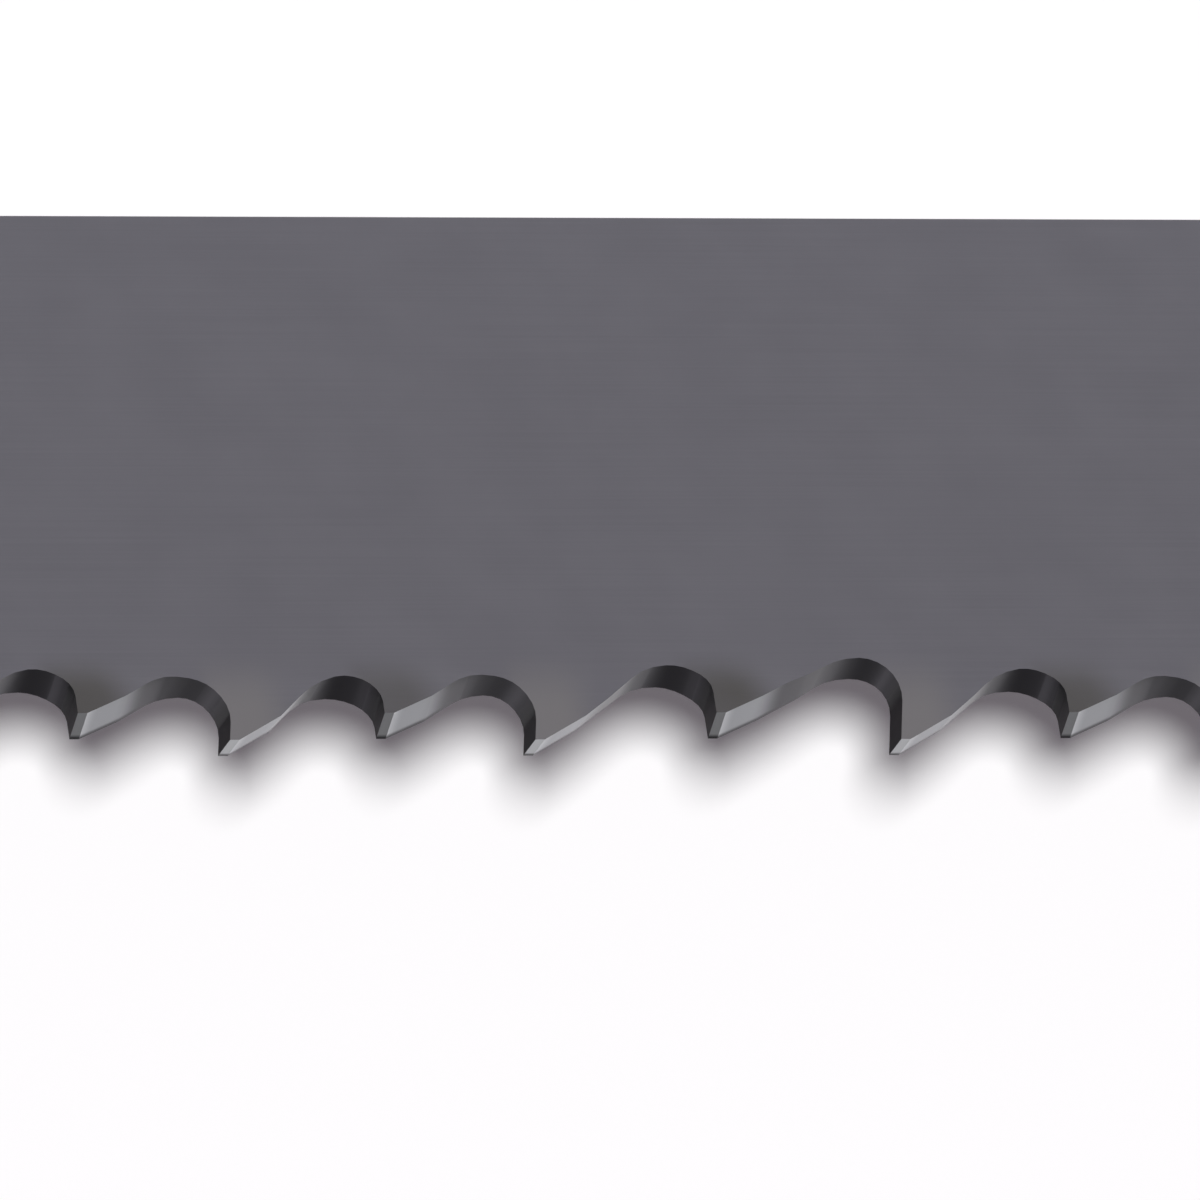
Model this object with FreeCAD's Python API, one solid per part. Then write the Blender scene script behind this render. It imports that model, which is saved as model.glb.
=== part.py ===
"""Band saw blade: a closed loop of steel strip, toothed along one edge, with variable pitch
and alternately set teeth. It stands on its plain back edge in the shape that it has on its
two wheels. Millimetres and degrees."""
import FreeCAD, Part
import math
import os

os.makedirs("parts", exist_ok=True)

# The loop: the strip's length is measured round its middle, its width from the back edge
# to the tooth tips, and the wheel radius is that of the strip's inner side at each turn.
LOOP_LENGTH = 1140.0
STRIP_WIDTH = 13.0
STRIP_THICKNESS = 0.65
WHEEL_RADIUS = 60.0

# One group of teeth, in cutting order from the rearmost: the pitch ahead of each tooth, and
# the depth of the gullet in it. The group repeats round the whole loop.
TOOTH_PITCHES = (4.15, 3.67, 3.40, 3.09, 3.41, 3.41)
GULLET_DEPTHS = (1.75, 1.55, 1.34, 1.25, 1.29, 1.43)

# One tooth: the hook of its front face, the flat on its tip, and its rounded back, which
# falls gently as far as the heel and more steeply from there into the gullet.
HOOK_ANGLE = 14.0
TIP_LAND = 0.2
HEEL_DISTANCE = 1.2
RELIEF_ANGLE = 28.0

# One gullet: an arc at the foot of the front face, drawn as two chords because hundreds of
# gullets repeat, and a level floor from there to the back of the next tooth.
GULLET_RADIUS = 0.72
FLOOR_BEFORE = 0.19
FLOOR_BEHIND = 0.45

# The set: every second tooth leans outwards and the others inwards, from the bend line up.
SET_OFFSET = 0.33
BEND_DEPTH = 1.2

# How far the shapes that only cut material away reach past it.
OVERCUT = 0.5

MIDDLE_RADIUS = WHEEL_RADIUS + STRIP_THICKNESS / 2
TURN_LENGTH = math.pi * MIDDLE_RADIUS
SPAN_LENGTH = LOOP_LENGTH / 2 - TURN_LENGTH
BEND_HEIGHT = STRIP_WIDTH - BEND_DEPTH
GROUP_LENGTH = sum(TOOTH_PITCHES)
UP = FreeCAD.Vector(0, 0, 1)


def groups_along(length):
    """How many whole groups of teeth fit best on a stretch of the loop."""
    return max(1, round(length / GROUP_LENGTH))


def floor_middle(depth):
    """How far ahead of the tip behind it a gullet's arc comes down to its floor."""
    hook = math.radians(HOOK_ANGLE)
    rake_height = depth - GULLET_RADIUS * (1 + math.sin(hook))
    return GULLET_RADIUS * math.cos(hook) - rake_height * math.tan(hook)


def gullet_cut(pitch, depth, start):
    """The cut of one gullet, square through the strip, open above the tips.

    X runs ahead from the tip of the tooth behind, at start, and Z up from the back edge.
    """
    middle = floor_middle(depth)
    floor = STRIP_WIDTH - depth
    level_turn = math.pi / 2 + math.radians(HOOK_ANGLE)

    def arc(turn):
        x = middle - GULLET_RADIUS * math.sin(turn)
        return x, floor + GULLET_RADIUS * (1 - math.cos(turn))

    heel_drop = (HEEL_DISTANCE - TIP_LAND) * math.tan(math.radians(RELIEF_ANGLE))
    outline = [
        (0, STRIP_WIDTH + OVERCUT),
        (0, STRIP_WIDTH),
        arc(level_turn),
        arc(level_turn / 2),
        (middle - FLOOR_BEFORE, floor),
        (middle + FLOOR_BEHIND, floor),
        (pitch - HEEL_DISTANCE, STRIP_WIDTH - heel_drop),
        (pitch - TIP_LAND, STRIP_WIDTH),
        (pitch - TIP_LAND, STRIP_WIDTH + OVERCUT),
    ]
    reach = STRIP_THICKNESS / 2 + SET_OFFSET + OVERCUT
    points = [FreeCAD.Vector(start + x, -reach, z) for x, z in outline]
    face = Part.Face(Part.makePolygon(points + points[:1]))
    return face.extrude(FreeCAD.Vector(0, 2 * reach, 0))


def tooth_link(behind, ahead, lean, turning):
    """The faces of the stretch of strip that carries one tooth, from one gullet to the next.

    behind and ahead are the pitch and depth of its two gullets. The stretch is flat and
    centred on X = 0, and on a turn its ends are mitred towards the wheel's axis, because
    there the strip bends at its gullets. Positive Y points into the loop.
    """
    length = behind[0] - floor_middle(behind[1]) + floor_middle(ahead[1])
    tip = length / 2 - floor_middle(ahead[1])
    mitre = length / MIDDLE_RADIUS / 2 if turning else 0.0
    outer, inner = length / 2, length / 2
    if turning:
        outer = (MIDDLE_RADIUS + STRIP_THICKNESS / 2) * math.sin(mitre)
        inner = (MIDDLE_RADIUS - STRIP_THICKNESS / 2) * math.sin(mitre)
    half = STRIP_THICKNESS / 2 * math.cos(mitre)

    plan = [(-outer, -half), (outer, -half), (inner, half), (-inner, half)]
    points = [FreeCAD.Vector(x, y, 0) for x, y in plan]
    strip = Part.Face(Part.makePolygon(points + points[:1])).extrude(UP * BEND_HEIGHT)

    section = [
        (-half, BEND_HEIGHT),
        (half, BEND_HEIGHT),
        (half - lean, STRIP_WIDTH),
        (-half - lean, STRIP_WIDTH),
    ]
    back = FLOOR_BEHIND / 2 - length / 2
    points = [FreeCAD.Vector(back, y, z) for y, z in section]
    leaning = Part.Face(Part.makePolygon(points + points[:1]))
    tooth = leaning.extrude(FreeCAD.Vector(-2 * back, 0, 0))

    cuts = [gullet_cut(*behind, tip - behind[0]), gullet_cut(*ahead, tip)]
    link = strip.fuse(tooth).cut(cuts).removeSplitter()

    def at_an_end(face):
        for side in (-1, 1):
            corner = FreeCAD.Vector(side * outer, -half, 0)
            across = FreeCAD.Vector(side * math.cos(mitre), math.sin(mitre), 0)
            if all(abs((v.Point - corner).dot(across)) < 1e-6 for v in face.Vertexes):
                return True
        return False

    return length, Part.makeCompound([f for f in link.Faces if not at_an_end(f)])


def tooth_links(stretch, groups, turning):
    """The links of one group of teeth, fitted to a whole number of groups on a stretch."""
    scale = stretch / groups / GROUP_LENGTH
    gullets = [(p * scale, depth) for p, depth in zip(TOOTH_PITCHES, GULLET_DEPTHS)]
    links = []
    for number, ahead in enumerate(gullets):
        lean = -SET_OFFSET if number % 2 == 0 else SET_OFFSET
        links.append(tooth_link(gullets[number - 1], ahead, lean, turning))
    return links


def half_loop():
    """The faces of the span on the -Y side and of the turn that it runs into at +X."""
    faces = []
    groups = groups_along(SPAN_LENGTH)
    along = -SPAN_LENGTH / 2
    for length, link in tooth_links(SPAN_LENGTH, groups, False) * groups:
        piece = link.copy()
        piece.translate(FreeCAD.Vector(along + length / 2, -MIDDLE_RADIUS, 0))
        faces += piece.Faces
        along += length
    groups = groups_along(TURN_LENGTH)
    axis = FreeCAD.Vector(SPAN_LENGTH / 2, 0, 0)
    along = 0.0
    for length, link in tooth_links(TURN_LENGTH, groups, True) * groups:
        piece = link.copy()
        sink = MIDDLE_RADIUS * math.cos(length / MIDDLE_RADIUS / 2)
        piece.translate(axis - FreeCAD.Vector(0, sink, 0))
        piece.rotate(axis, UP, math.degrees((along + length / 2) / MIDDLE_RADIUS))
        faces += piece.Faces
        along += length
    return Part.makeCompound(faces)


def blade():
    """The whole blade as one solid: two half loops, joined end to end."""
    first = half_loop()
    second = first.copy()
    second.rotate(FreeCAD.Vector(), UP, 180)
    skin = Part.makeCompound(first.Faces + second.Faces)
    skin.sewShape(1e-5)
    solid = Part.Solid(skin.Shells[0])
    if solid.Volume < 0:
        solid.reverse()
    return solid.removeSplitter()


blade().exportStep("parts/saw_blade.step")
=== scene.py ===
"""Band saw blade, dressed: the loop of strip with its set teeth, its steel, the floor and light.
The strip's and the teeth's sizes are those of the solid, in metres and radians."""
import math

import bmesh
import bpy
from mathutils import Matrix, Vector


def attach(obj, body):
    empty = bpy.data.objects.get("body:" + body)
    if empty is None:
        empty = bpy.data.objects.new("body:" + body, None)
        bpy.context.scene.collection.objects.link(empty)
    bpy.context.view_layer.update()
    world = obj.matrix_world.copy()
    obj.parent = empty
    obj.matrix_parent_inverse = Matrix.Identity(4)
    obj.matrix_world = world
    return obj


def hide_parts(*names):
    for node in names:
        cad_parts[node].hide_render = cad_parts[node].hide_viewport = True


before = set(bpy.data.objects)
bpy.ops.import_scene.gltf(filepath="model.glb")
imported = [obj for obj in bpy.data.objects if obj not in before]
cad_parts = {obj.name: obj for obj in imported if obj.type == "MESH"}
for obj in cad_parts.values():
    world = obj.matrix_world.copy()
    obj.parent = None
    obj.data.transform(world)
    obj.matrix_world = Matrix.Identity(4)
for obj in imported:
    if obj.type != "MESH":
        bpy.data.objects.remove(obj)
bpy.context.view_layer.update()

MM = 0.001

# The loop: a strip laid round two wheels.
LOOP_LENGTH = 1140 * MM
STRIP_WIDTH = 13 * MM
STRIP_THICKNESS = 0.65 * MM
WHEEL_RADIUS = 60 * MM
MIDDLE_RADIUS = WHEEL_RADIUS + STRIP_THICKNESS / 2
TURN_LENGTH = math.pi * MIDDLE_RADIUS
SPAN_LENGTH = LOOP_LENGTH / 2 - TURN_LENGTH

# One group of teeth: the pitch ahead of each tooth and the depth of the gullet in it.
TOOTH_PITCHES = [pitch * MM for pitch in (4.15, 3.67, 3.40, 3.09, 3.41, 3.41)]
GULLET_DEPTHS = [depth * MM for depth in (1.75, 1.55, 1.34, 1.25, 1.29, 1.43)]
GROUP_LENGTH = sum(TOOTH_PITCHES)

# One tooth and its gullets: a hooked front, a small land on the tip, and a back that falls to
# the heel and then runs into the gullet. Both of the gullet's arcs meet at its floor.
HOOK_ANGLE = math.radians(14)
TIP_LAND = 0.2 * MM
HEEL_DISTANCE = 1.2 * MM
RELIEF_ANGLE = math.radians(28)
GULLET_RADIUS = 0.72 * MM
FLOOR_BEHIND = 0.45 * MM
BACK_STEPS = 3
FRONT_STEPS = 7

# The set: the teeth lean in turn into the loop and out of it. The part of a tooth that leans
# evenly is turned about the bend height, and the steel round it follows, less and less.
SET_OFFSET = 0.33 * MM
BEND_HEIGHT = 11.3 * MM
EVEN_HEIGHT = 12.1 * MM
BEND_REACH = 1.3 * MM

# Where the flat strip is cut so that it can bend: upright through each tooth, as shares of its
# length, and level at these heights.
TOOTH_COLUMNS = (0.3, 0.5, 0.7)
LEVEL_CUTS = [height * MM for height in (10.8, 11.2, 11.5, 11.8, 12.1, 12.45)]

BACK_EDGE_RADIUS = 0.04 * MM
BACK_EDGE_STEPS = 2
SMOOTH_ANGLE = math.radians(20)
SAME_PLACE = 0.001 * MM

# How far a face's normal is turned across the strip on its sides, and ahead on a tooth's front.
SIDE_TURN = 0.5
FRONT_TURN = 0.3

# Where the steel's look changes, in millimetres, as the outer and inner end of each soft border.
# The painted shade and painted light of a set bend lie above a height, over the tooth and just
# ahead of its tip. The tooth's back carries painted light, brightest at the tip, and turns into
# the gullet's painted shade, and a darker line runs along the inner edge of both.
BEND_SHADING_HEIGHTS = (11.0, 12.4)
BEND_SHADING_OVER_TOOTH = (1.7, 0.6)
BEND_SHADING_AHEAD = (-0.55, 0)
PAINTED_TIP_HIGHLIGHT = (0.5, 0.1)
GULLET_START = (1.0, 1.85)
INNER_EDGE_LINE = (0.2, 0.3)

# How far up a tooth's front, as shares of the gullet's radius, its painted shade deepens.
PAINTED_FRONT_SHADE = (0.1, 0.9)

# The strip's patterns: the sizes of a streak along, across and up the strip, of a cloud, and of
# the patches where the bends' painted shade is weaker. Most of a noise lies within its middle.
STREAK_SIZE = (6 * MM, 0.3 * MM, 0.05 * MM)
CLOUD_SIZE = 1.6 * MM
PATCH_SIZE = 9 * MM
WEAKEST_PAINTED_SHADE = 0.55
NOISE_MIDDLE = (0.35, 0.65)

# A Mix node's sockets for colours, which share their names with those for numbers.
MIX_FACTOR, MIX_UNDER, MIX_OVER, MIX_RESULT = 0, 6, 7, 2

# The camera looks down on the near span from outside the loop, swung towards the side that the
# teeth point to, through a very long lens. It is upside down, so that the teeth point down.
CAMERA_RISE = math.radians(40)
CAMERA_SWING = math.radians(24.6)
CAMERA_ACROSS = Vector((
    -math.cos(CAMERA_SWING),
    -math.sin(CAMERA_SWING) * math.cos(CAMERA_RISE),
    math.sin(CAMERA_SWING) * math.sin(CAMERA_RISE),
))
CAMERA_UP = Vector((0, -math.sin(CAMERA_RISE), -math.cos(CAMERA_RISE)))
CAMERA_BACK = CAMERA_ACROSS.cross(CAMERA_UP)
CAMERA_LENS = 1600
SENSOR_WIDTH = 36
NEAREST_SEEN = 0.01
FARTHEST_SEEN = 100
PICTURE_WIDTH = 23.17 * MM
PICTURE_PIXELS = 1200
PIXEL = PICTURE_WIDTH / PICTURE_PIXELS

# Where the tooth tip just behind the middle of the near span shows, before it is set.
TIP_SEEN = (74, 727.6)

# The light: a soft lamp near the camera and a dim room, whose light gives the shadows a slight
# purple cast. Its walls are white up to the first of two heights and fade to the dim room by
# the second. Both are sines of angles above the floor.
TOWARDS_LIGHT = Vector((0.407, -0.7243, 0.5567)).normalized()
LAMP_SIZE = math.radians(3.4)
LAMP_STRENGTH = 4.7
ROOM_LIGHT = 0.17
ROOM_COLOUR = "FFF4FF"
WALL_TOP = (math.sin(math.radians(12)), math.sin(math.radians(34)))
FLOOR_SIZE = 8


def linear(hex_colour):
    """A colour written as sRGB hex, as linear red, green, blue and alpha."""
    parts = [int(hex_colour[i:i + 2], 16) / 255 for i in (0, 2, 4)]
    return [p / 12.92 if p <= 0.04045 else ((p + 0.055) / 1.055) ** 2.4 for p in parts] + [1.0]


def add_node(tree, kind, settings=None, links=None):
    """Adds one node, sets its properties and its inputs' values, and links its inputs."""
    node = tree.nodes.new(kind)
    for name, value in (settings or {}).items():
        if isinstance(name, str) and hasattr(node, name):
            setattr(node, name, value)
        else:
            node.inputs[name].default_value = value
    for name, output in (links or {}).items():
        tree.links.new(output, node.inputs[name])
    return node


def place_camera():
    data = bpy.data.cameras.new("camera")
    data.lens = CAMERA_LENS
    data.sensor_width = SENSOR_WIDTH
    camera = bpy.data.objects.new("camera", data)
    bpy.context.collection.objects.link(camera)
    bpy.context.scene.camera = camera
    tip = Vector((
        -floor_middle(GULLET_DEPTHS[-1]),
        -MIDDLE_RADIUS - STRIP_THICKNESS / 2,
        STRIP_WIDTH,
    ))
    right = (PICTURE_PIXELS / 2 - TIP_SEEN[0]) * PIXEL
    down = (TIP_SEEN[1] - PICTURE_PIXELS / 2) * PIXEL
    aim = tip + CAMERA_ACROSS * right + CAMERA_UP * down
    distance = PICTURE_WIDTH * CAMERA_LENS / SENSOR_WIDTH
    turn = Matrix((CAMERA_ACROSS, CAMERA_UP, CAMERA_BACK)).transposed().to_4x4()
    camera.matrix_world = Matrix.Translation(aim + CAMERA_BACK * distance) @ turn
    data.clip_start = NEAREST_SEEN
    data.clip_end = FARTHEST_SEEN


def light_studio():
    """One soft lamp, and a dim room that looks white to the camera. Polished steel sees the
    room's white walls near the floor and its dark upper part."""
    bpy.ops.object.light_add(type="SUN")
    sun = bpy.context.object
    sun.name = "key_light"
    sun.rotation_euler = TOWARDS_LIGHT.to_track_quat("Z", "Y").to_euler()
    sun.data.energy = LAMP_STRENGTH
    sun.data.angle = LAMP_SIZE

    world = bpy.data.worlds.new("studio")
    bpy.context.scene.world = world
    world.use_nodes = True
    tree = world.node_tree
    rays = add_node(tree, "ShaderNodeLightPath")
    place = add_node(tree, "ShaderNodeTexCoord")
    height = add_node(tree, "ShaderNodeSeparateXYZ", links={0: place.outputs["Generated"]})
    walls = add_node(tree, "ShaderNodeMapRange", {
        "interpolation_type": "SMOOTHSTEP",
        "From Min": WALL_TOP[0],
        "From Max": WALL_TOP[1],
        "To Min": 1,
        "To Max": ROOM_LIGHT,
    }, {"Value": height.outputs["Z"]})
    mirrored = add_node(tree, "ShaderNodeMath", {"operation": "MAXIMUM"}, {
        0: rays.outputs["Is Glossy Ray"],
        1: rays.outputs["Is Transmission Ray"],
    })
    indoors = add_node(tree, "ShaderNodeMix", {"A": ROOM_LIGHT}, {
        "Factor": mirrored.outputs[0],
        "B": walls.outputs["Result"],
    })
    strength = add_node(tree, "ShaderNodeMix", {"B": 1}, {
        "Factor": rays.outputs["Is Camera Ray"],
        "A": indoors.outputs["Result"],
    })
    seen = add_node(tree, "ShaderNodeMath", {"operation": "MAXIMUM"}, {
        0: mirrored.outputs[0],
        1: rays.outputs["Is Camera Ray"],
    })
    cast = add_node(tree, "ShaderNodeMix", {
        "data_type": "RGBA",
        MIX_UNDER: linear(ROOM_COLOUR),
        MIX_OVER: linear("FFFFFF"),
    }, {MIX_FACTOR: seen.outputs[0]})
    background = tree.nodes["Background"]
    tree.links.new(cast.outputs[MIX_RESULT], background.inputs["Color"])
    tree.links.new(strength.outputs["Result"], background.inputs["Strength"])


def lay_floor():
    """White paper: wholly matt, so that it shows nothing but the shadow."""
    bpy.ops.mesh.primitive_plane_add(size=FLOOR_SIZE)
    floor = bpy.context.object
    floor.name = "floor"
    material = bpy.data.materials.new("white_paper_floor")
    material.use_nodes = True
    shader = material.node_tree.nodes["Principled BSDF"]
    shader.inputs["Base Color"].default_value = linear("FFFFFF")
    shader.inputs["Roughness"].default_value = 1
    shader.inputs["Specular IOR Level"].default_value = 0
    floor.data.materials.append(material)


def select_where(piece, kind, test):
    """In edit mode, selects the vertices, edges or faces that the test holds for."""
    bpy.ops.mesh.select_all(action="DESELECT")
    mesh = bmesh.from_edit_mesh(piece.data)
    for item in getattr(mesh, kind):
        if test(item):
            item.select_set(True)
    mesh.select_flush_mode()
    bmesh.update_edit_mesh(piece.data)


def select_only(*pieces):
    """In object mode, selects these objects alone. The last is the active one."""
    bpy.ops.object.select_all(action="DESELECT")
    for piece in pieces:
        piece.select_set(True)
    bpy.context.view_layer.objects.active = pieces[-1]


def front_height(depth):
    """How high the straight front of a tooth is, above the arc of the gullet ahead of it."""
    return depth - GULLET_RADIUS * (1 + math.sin(HOOK_ANGLE))


def floor_middle(depth):
    """How far ahead of the tip behind it a gullet's front arc comes down to its floor."""
    return GULLET_RADIUS * math.cos(HOOK_ANGLE) - front_height(depth) * math.tan(HOOK_ANGLE)


def draw_line(across, up):
    bpy.ops.mesh.extrude_region_move(TRANSFORM_OT_translate={"value": (across, 0, up)})


def draw_arc(centre_x, centre_z, angle, steps):
    centre = (centre_x, -STRIP_THICKNESS / 2, centre_z)
    bpy.ops.mesh.spin(steps=steps, angle=angle, center=centre, axis=(0, 1, 0))


def tooth_gullets(number):
    """The pitch and depth of the gullet behind a tooth, and of the one ahead. Numbers below 0
    and from 6 on are those of the groups before and after."""
    gullets = list(zip(TOOTH_PITCHES, GULLET_DEPTHS))
    return gullets[(number - 1) % len(gullets)], gullets[number % len(gullets)]


def tooth_length(number):
    """From the floor of the gullet behind a tooth to the floor of the one ahead."""
    behind, ahead = tooth_gullets(number)
    return behind[0] - floor_middle(behind[1]) + floor_middle(ahead[1])


def lean_of(number):
    """1 for a tooth that leans into the loop, and -1 for one that leans out of it."""
    return 1 if number % 2 == 0 else -1


def draw_tooth(start, number):
    """Draws one tooth's outline from the floor behind it, at start, to the floor ahead."""
    (pitch, depth), (_, depth_ahead) = tooth_gullets(number)
    heel_drop = (HEEL_DISTANCE - TIP_LAND) * math.tan(RELIEF_ANGLE)
    rise = depth - heel_drop
    run = pitch - HEEL_DISTANCE - floor_middle(depth)
    slope = math.atan2(rise, run - FLOOR_BEHIND)
    back_radius = FLOOR_BEHIND / math.tan(slope / 2)
    draw_arc(start, STRIP_WIDTH - depth + back_radius, slope, BACK_STEPS)
    draw_line(run - back_radius * math.sin(slope), rise - back_radius * (1 - math.cos(slope)))
    draw_line(HEEL_DISTANCE - TIP_LAND, heel_drop)
    draw_line(TIP_LAND, 0)
    front = front_height(depth_ahead)
    draw_line(-front * math.tan(HOOK_ANGLE), -front)
    end = start + tooth_length(number)
    centre_z = STRIP_WIDTH - depth_ahead + GULLET_RADIUS
    draw_arc(end, centre_z, math.pi / 2 + HOOK_ANGLE, FRONT_STEPS)
    return end


def model_group(steels):
    """The stretch of strip that carries one group of six teeth, flat, from X = 0. It is made
    with one tooth more at each end, because the set of a tooth also pulls at its neighbours."""
    numbers = range(-1, len(TOOTH_PITCHES) + 1)
    first_floor = STRIP_WIDTH - tooth_gullets(numbers[0])[0][1]
    bpy.ops.mesh.primitive_plane_add(size=MM)
    group = bpy.context.object
    group.name = "saw_blade_teeth"
    for steel in steels:
        group.data.materials.append(steel)

    # The outline starts as one point and is drawn tooth by tooth, then closed round the back.
    bpy.ops.object.mode_set(mode="EDIT")
    bpy.ops.mesh.select_mode(type="VERT")
    bpy.ops.mesh.merge(type="CENTER")
    stations = [-tooth_length(numbers[0])]
    bpy.ops.transform.translate(value=(stations[0], -STRIP_THICKNESS / 2, first_floor))
    for number in numbers:
        stations.append(draw_tooth(stations[-1], number))
    last_floor = STRIP_WIDTH - tooth_gullets(numbers[-1])[1][1]
    draw_line(0, -last_floor)
    draw_line(stations[0] - stations[-1], 0)
    draw_line(0, first_floor)
    bpy.ops.mesh.select_all(action="SELECT")
    bpy.ops.mesh.remove_doubles(threshold=SAME_PLACE)
    bpy.ops.mesh.edge_face_add()

    # Cuts: upright at each gullet's floor and through each tooth, and level round the bends.
    columns = stations[1:-1]
    for near, far in zip(stations, stations[1:]):
        columns += [near + share * (far - near) for share in TOOTH_COLUMNS]
    cuts = [((column, 0, 0), (1, 0, 0)) for column in columns]
    cuts += [((0, 0, height), (0, 0, 1)) for height in LEVEL_CUTS]
    for place, normal in cuts:
        bpy.ops.mesh.select_all(action="SELECT")
        bpy.ops.mesh.bisect(plane_co=place, plane_no=normal, threshold=SAME_PLACE / 10)
    bpy.ops.mesh.select_all(action="SELECT")
    bpy.ops.mesh.extrude_region_move(
        TRANSFORM_OT_translate={"value": (0, STRIP_THICKNESS, 0)}
    )

    # The corners of the back edge are rounded.
    bpy.ops.mesh.select_mode(type="EDGE")
    select_where(group, "edges", lambda e: all(
        v.co.z < SAME_PLACE and v.co.y * e.verts[0].co.y > 0 for v in e.verts
    ))
    bpy.ops.mesh.bevel(offset=BACK_EDGE_RADIUS, segments=BACK_EDGE_STEPS, affect="EDGES")
    bpy.ops.mesh.select_mode(type="VERT")
    bpy.ops.mesh.select_all(action="SELECT")
    bpy.ops.mesh.normals_make_consistent(inside=False)
    bpy.ops.object.mode_set(mode="OBJECT")
    mark_teeth(group, numbers, stations)

    # The set: each tooth is turned about the bend height, and the steel round it follows.
    bpy.ops.object.mode_set(mode="EDIT")
    set_angle = math.asin(SET_OFFSET / (STRIP_WIDTH - BEND_HEIGHT))
    for number, near, far in zip(numbers, stations, stations[1:]):
        select_where(group, "verts", lambda v: near < v.co.x < far
                     and v.co.z > EVEN_HEIGHT - SAME_PLACE)
        bpy.ops.transform.rotate(
            value=set_angle * lean_of(number),
            orient_axis="X",
            center_override=(0, 0, BEND_HEIGHT),
            use_proportional_edit=True,
            use_proportional_connected=True,
            proportional_edit_falloff="SMOOTH",
            proportional_size=BEND_REACH,
        )

    # The two teeth too many go, and with them the end walls of the group itself.
    select_where(group, "verts", lambda v: v.co.x < -SAME_PLACE
                 or v.co.x > GROUP_LENGTH + SAME_PLACE)
    bpy.ops.mesh.delete(type="VERT")
    bpy.ops.object.mode_set(mode="OBJECT")
    return group


def mark_teeth(group, numbers, stations):
    """Gives each face its steel, and keeps what the steel's look depends on. tooth_place is
    how far behind its tooth's tip a corner lies, how far across the strip and how high, in
    millimetres. A tooth's front counts to the gullet ahead of it, so it is far behind the next
    tip. lean is 1 where the tooth is to lean into the loop and -1 where it is to lean out of
    it, and hook rises from 0 at a gullet's floor to 1 up the tooth's front."""
    group.data.attributes.new("tooth_place", "FLOAT_VECTOR", "CORNER")
    group.data.attributes.new("lean", "FLOAT", "FACE")
    group.data.attributes.new("hook", "FLOAT", "CORNER")
    tooth_place = group.data.attributes["tooth_place"].data
    lean = group.data.attributes["lean"].data
    hook = group.data.attributes["hook"].data
    for face in group.data.polygons:
        tooth = sum(face.center.x > station for station in stations[1:-1])
        pitch, depth = tooth_gullets(numbers[tooth])[1]
        tip = stations[tooth + 1] - floor_middle(depth)
        is_side = abs(face.normal.y) > SIDE_TURN or face.center.z < LEVEL_CUTS[0]
        is_front = not is_side and (face.normal.x > FRONT_TURN or face.center.x > tip)
        face.material_index = 0 if is_side else 1
        lean[face.index].value = lean_of(numbers[tooth])
        for corner in face.loop_indices:
            place = group.data.vertices[group.data.loops[corner].vertex_index].co
            behind = tip - place.x
            if is_front:
                behind += pitch
                hook[corner].value = min(1, (place.z - STRIP_WIDTH + depth) / GULLET_RADIUS)
            tooth_place[corner].vector = (behind / MM, place.y / MM, place.z / MM)


def lay_stretch(group, name, length, middle):
    """Copies the group along one stretch of the loop, centred on X = 0, and keeps each corner's
    place along the strip. middle is the place of the stretch's middle."""
    count = round(length / GROUP_LENGTH)
    select_only(group)
    bpy.ops.object.duplicate()
    stretch = bpy.context.object
    stretch.name = name
    stretch.scale.x = length / count / GROUP_LENGTH
    bpy.ops.object.transform_apply(scale=True)
    row = stretch.modifiers.new("row", "ARRAY")
    row.count = count
    row.use_relative_offset = False
    row.use_constant_offset = True
    row.constant_offset_displace = (length / count, 0, 0)
    row.use_merge_vertices = True
    row.merge_threshold = SAME_PLACE
    bpy.ops.object.modifier_apply(modifier="row")
    stretch.location.x = -length / 2
    bpy.ops.object.transform_apply(location=True)
    places = stretch.data.attributes.new("strip_place", "FLOAT_VECTOR", "CORNER")
    for corner, place in zip(stretch.data.loops, places.data):
        point = stretch.data.vertices[corner.vertex_index].co
        place.vector = (middle + point.x, point.y, point.z)
    return stretch


def model_blade():
    """The whole loop: a span and a turn, and their copy on the other side."""
    group = model_group([tempered_strip_steel(), milled_tooth_steel()])
    span = lay_stretch(group, "span", SPAN_LENGTH, SPAN_LENGTH / 2)
    span.location.y = -MIDDLE_RADIUS
    bpy.ops.object.transform_apply(location=True)

    turn = lay_stretch(group, "turn", TURN_LENGTH, SPAN_LENGTH + TURN_LENGTH / 2)
    wrap = turn.modifiers.new("wrap", "SIMPLE_DEFORM")
    wrap.deform_method = "BEND"
    wrap.deform_axis = "Z"
    wrap.angle = math.pi
    bpy.ops.object.modifier_apply(modifier="wrap")
    turn.location.y = -MIDDLE_RADIUS
    bpy.ops.object.transform_apply(location=True)
    turn.rotation_euler.z = math.pi / 2
    turn.location.x = SPAN_LENGTH / 2
    bpy.ops.object.transform_apply(location=True, rotation=True)

    select_only(turn, span)
    bpy.ops.object.join()
    blade = bpy.context.object
    blade.name = "toothed_steel_loop"
    bpy.ops.object.duplicate()
    other_half = bpy.context.object
    other_half.rotation_euler.z = math.pi
    bpy.ops.object.transform_apply(rotation=True)
    for place in other_half.data.attributes["strip_place"].data:
        place.vector.x += LOOP_LENGTH / 2
    select_only(other_half, blade)
    bpy.ops.object.join()
    bpy.ops.object.mode_set(mode="EDIT")
    bpy.ops.mesh.select_all(action="SELECT")
    bpy.ops.mesh.remove_doubles(threshold=SAME_PLACE)
    bpy.ops.mesh.normals_make_consistent(inside=False)
    bpy.ops.object.mode_set(mode="OBJECT")
    bpy.ops.object.shade_smooth_by_angle(angle=SMOOTH_ANGLE)
    bpy.data.objects.remove(group)
    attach(blade, "root")
    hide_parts("saw_blade")


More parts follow.
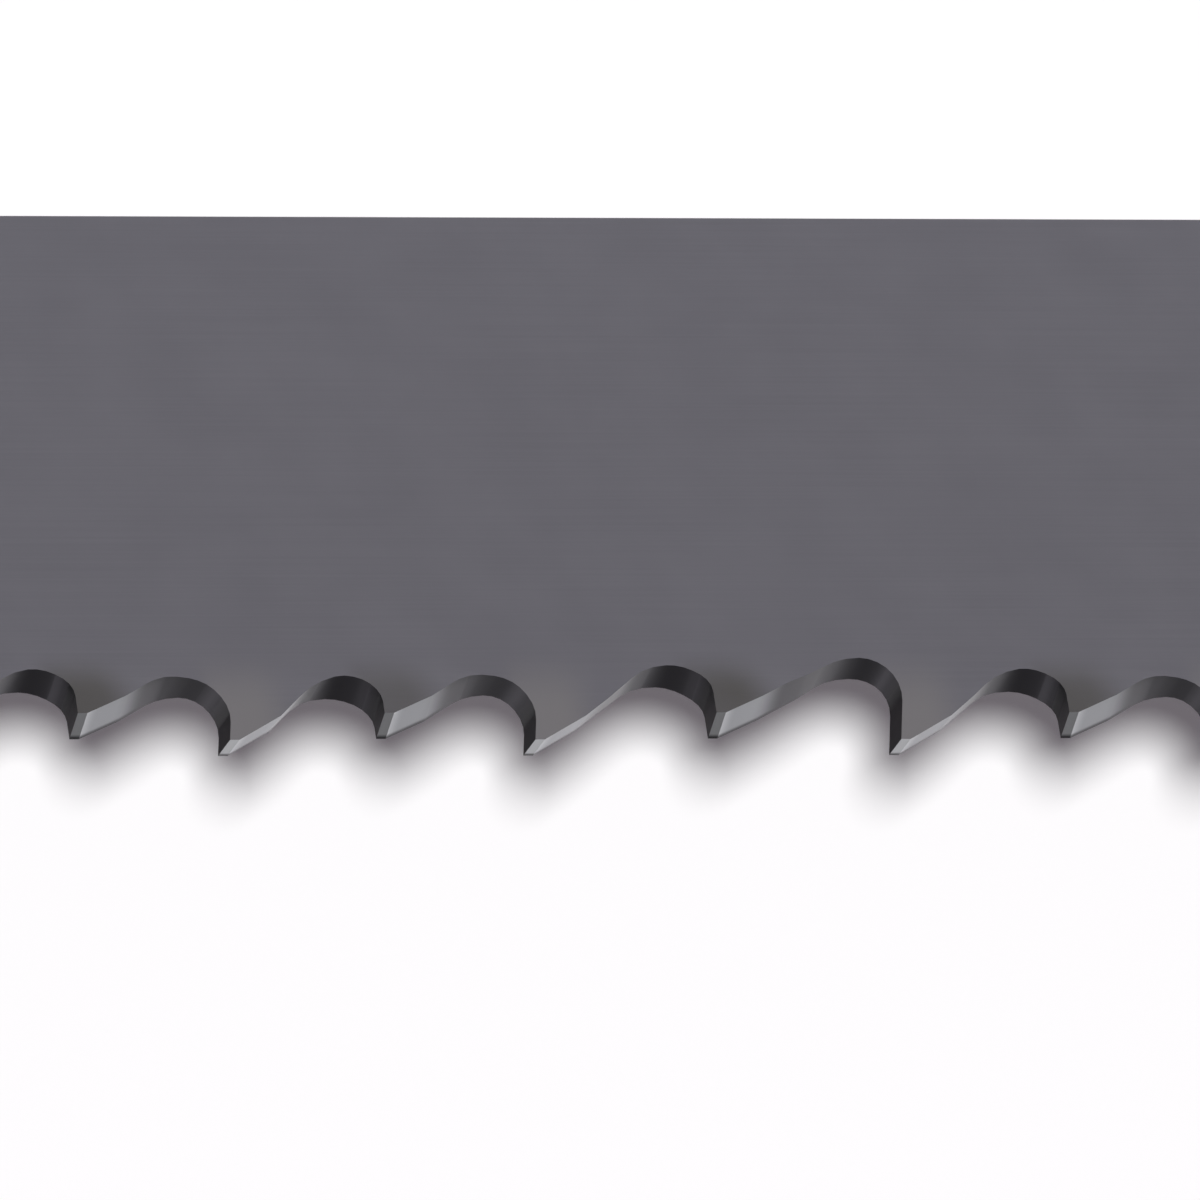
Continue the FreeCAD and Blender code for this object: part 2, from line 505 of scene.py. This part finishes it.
def new_steel(name):
    """A metal of that name. Returns the material, its tree and its shader."""
    steel = bpy.data.materials.new(name)
    steel.use_nodes = True
    shader = steel.node_tree.nodes["Principled BSDF"]
    shader.inputs["Metallic"].default_value = 1
    return steel, steel.node_tree, shader


def tooth_coordinates(tree):
    """How far behind the tip, across the strip and up from the back edge, in millimetres."""
    place = add_node(tree, "ShaderNodeAttribute", {"attribute_name": "tooth_place"})
    return add_node(tree, "ShaderNodeSeparateXYZ", links={0: place.outputs["Vector"]}).outputs


def lay_tone(tree, under, over, zones, strength=None):
    """Lays one tone over another in the part that all the zones share. A zone is a coordinate
    with its values at the zone's soft border, outside and inside. A tone is an sRGB hex colour
    or the result of an earlier tone, and strength may make the upper one thinner."""
    for place, (outside, inside) in zones:
        zone = add_node(tree, "ShaderNodeMapRange", {
            "interpolation_type": "SMOOTHSTEP",
            "From Min": outside,
            "From Max": inside,
        }, {"Value": place}).outputs["Result"]
        if strength is None:
            strength = zone
        else:
            strength = add_node(tree, "ShaderNodeMath", {"operation": "MULTIPLY"}, {
                0: strength, 1: zone,
            }).outputs[0]
    settings = {"data_type": "RGBA"}
    links = {MIX_FACTOR: strength}
    for socket, tone in ((MIX_UNDER, under), (MIX_OVER, over)):
        if isinstance(tone, str):
            settings[socket] = linear(tone)
        else:
            links[socket] = tone
    return add_node(tree, "ShaderNodeMix", settings, links).outputs[MIX_RESULT]


def rolling_grain(tree, place):
    """Fine streaks along the strip, as the rolls leave them, and a faint cloudiness, which keep
    the grey from looking painted."""
    streak_place = add_node(tree, "ShaderNodeVectorMath", {
        "operation": "MULTIPLY", 1: [1 / size for size in STREAK_SIZE],
    }, {0: place})
    streaks = add_node(tree, "ShaderNodeTexNoise", {"Scale": 1, "Detail": 2}, {
        "Vector": streak_place.outputs["Vector"],
    })
    clouds = add_node(tree, "ShaderNodeTexNoise", {"Scale": 1 / CLOUD_SIZE, "Detail": 3}, {
        "Vector": place,
    })
    grain = add_node(tree, "ShaderNodeMix", {"Factor": 0.5}, {
        "A": streaks.outputs["Fac"], "B": clouds.outputs["Fac"],
    })
    return add_node(tree, "ShaderNodeMapRange", {
        "From Min": NOISE_MIDDLE[0], "From Max": NOISE_MIDDLE[1],
    }, {"Value": grain.outputs["Result"]}).outputs["Result"]


def painted_shade_strength(tree, place):
    """The painted shade in the hollows of the bends is not equally strong all along the strip.
    """
    patches = add_node(tree, "ShaderNodeTexNoise", {"Scale": 1 / PATCH_SIZE, "Detail": 0}, {
        "Vector": place,
    })
    return add_node(tree, "ShaderNodeMapRange", {
        "From Min": NOISE_MIDDLE[0],
        "From Max": NOISE_MIDDLE[1],
        "To Min": 1,
        "To Max": WEAKEST_PAINTED_SHADE,
    }, {"Value": patches.outputs["Fac"]}).outputs["Result"]


def tempered_strip_steel():
    """Hardened and tempered strip, as it leaves the rolls: an even, satin blue grey. Above each
    set tooth, painted shade makes the hollow side of the bend darker and olive brown, and
    painted light makes the round side on the other face lighter, standing in for the shade and
    light that the bend's tilt gives."""
    steel, tree, shader = new_steel("tempered_strip_steel")
    shader.inputs["Roughness"].default_value = 0.45
    behind, across, height = tooth_coordinates(tree)
    strip = add_node(tree, "ShaderNodeAttribute", {"attribute_name": "strip_place"})
    strip_place = strip.outputs["Vector"]

    # hollow is 1 on the side that the tooth leans to, and -1 on the other, round side.
    lean = add_node(tree, "ShaderNodeAttribute", {"attribute_name": "lean"})
    side = add_node(tree, "ShaderNodeMath", {"operation": "SIGN"}, {0: across})
    hollow = add_node(tree, "ShaderNodeMath", {"operation": "MULTIPLY"}, {
        0: side.outputs[0], 1: lean.outputs["Fac"],
    }).outputs[0]
    bend = [(height, BEND_SHADING_HEIGHTS), (behind, BEND_SHADING_OVER_TOOTH), (behind, BEND_SHADING_AHEAD)]

    plain = add_node(tree, "ShaderNodeMix", {
        "data_type": "RGBA", MIX_UNDER: linear("626167"), MIX_OVER: linear("66656B"),
    }, {MIX_FACTOR: rolling_grain(tree, strip_place)}).outputs[MIX_RESULT]
    # Painted light: the round side of each set bend is made lighter than the plain grey.
    painted_light_bend = lay_tone(tree, plain, "6F6D6F", bend + [(hollow, (0, -1))])
    # Painted shade: the hollow side of each set bend is made darker and olive brown, weaker in
    # some patches along the strip.
    painted_shade_bend = lay_tone(
        tree, painted_light_bend, "484643", bend + [(hollow, (0, 1))], painted_shade_strength(tree, strip_place)
    )
    tree.links.new(painted_shade_bend, shader.inputs["Base Color"])
    return steel


def milled_tooth_steel():
    """The toothed edge, milled through the strip, with smooth cuts in the gullets. Painted shade
    makes the gullets dark and the teeth's fronts darker still, painted light makes the tooth
    backs bright behind the tips, and a darker line runs along their inner edge."""
    steel, tree, shader = new_steel("milled_tooth_steel")
    behind, across, _ = tooth_coordinates(tree)
    hook = add_node(tree, "ShaderNodeAttribute", {"attribute_name": "hook"}).outputs["Fac"]
    # Painted light: the tooth backs are painted bright, brightest at the tip, as a painted
    # highlight.
    painted_light_back = lay_tone(tree, "A2A2A7", "C6C6CA", [(behind, PAINTED_TIP_HIGHLIGHT)])
    # A darker line along the inner edge of the tooth backs and gullets.
    edged = lay_tone(tree, painted_light_back, "565558", [(across, INNER_EDGE_LINE)])
    # Painted shade: the gullets are painted dark, and the teeth's fronts darker still.
    painted_shade_gullet = lay_tone(tree, "514F54", "232225", [(hook, PAINTED_FRONT_SHADE)])
    colour = lay_tone(tree, edged, painted_shade_gullet, [(behind, GULLET_START)])
    tree.links.new(colour, shader.inputs["Base Color"])

    # The milled gullets are a little smoother than the ground backs.
    roughness = add_node(tree, "ShaderNodeMapRange", {
        "interpolation_type": "SMOOTHSTEP",
        "From Min": GULLET_START[0],
        "From Max": GULLET_START[1],
        "To Min": 0.4,
        "To Max": 0.36,
    }, {"Value": behind})
    tree.links.new(roughness.outputs["Result"], shader.inputs["Roughness"])
    return steel


place_camera()
light_studio()
lay_floor()
model_blade()
bpy.context.scene.view_settings.view_transform = "Standard"
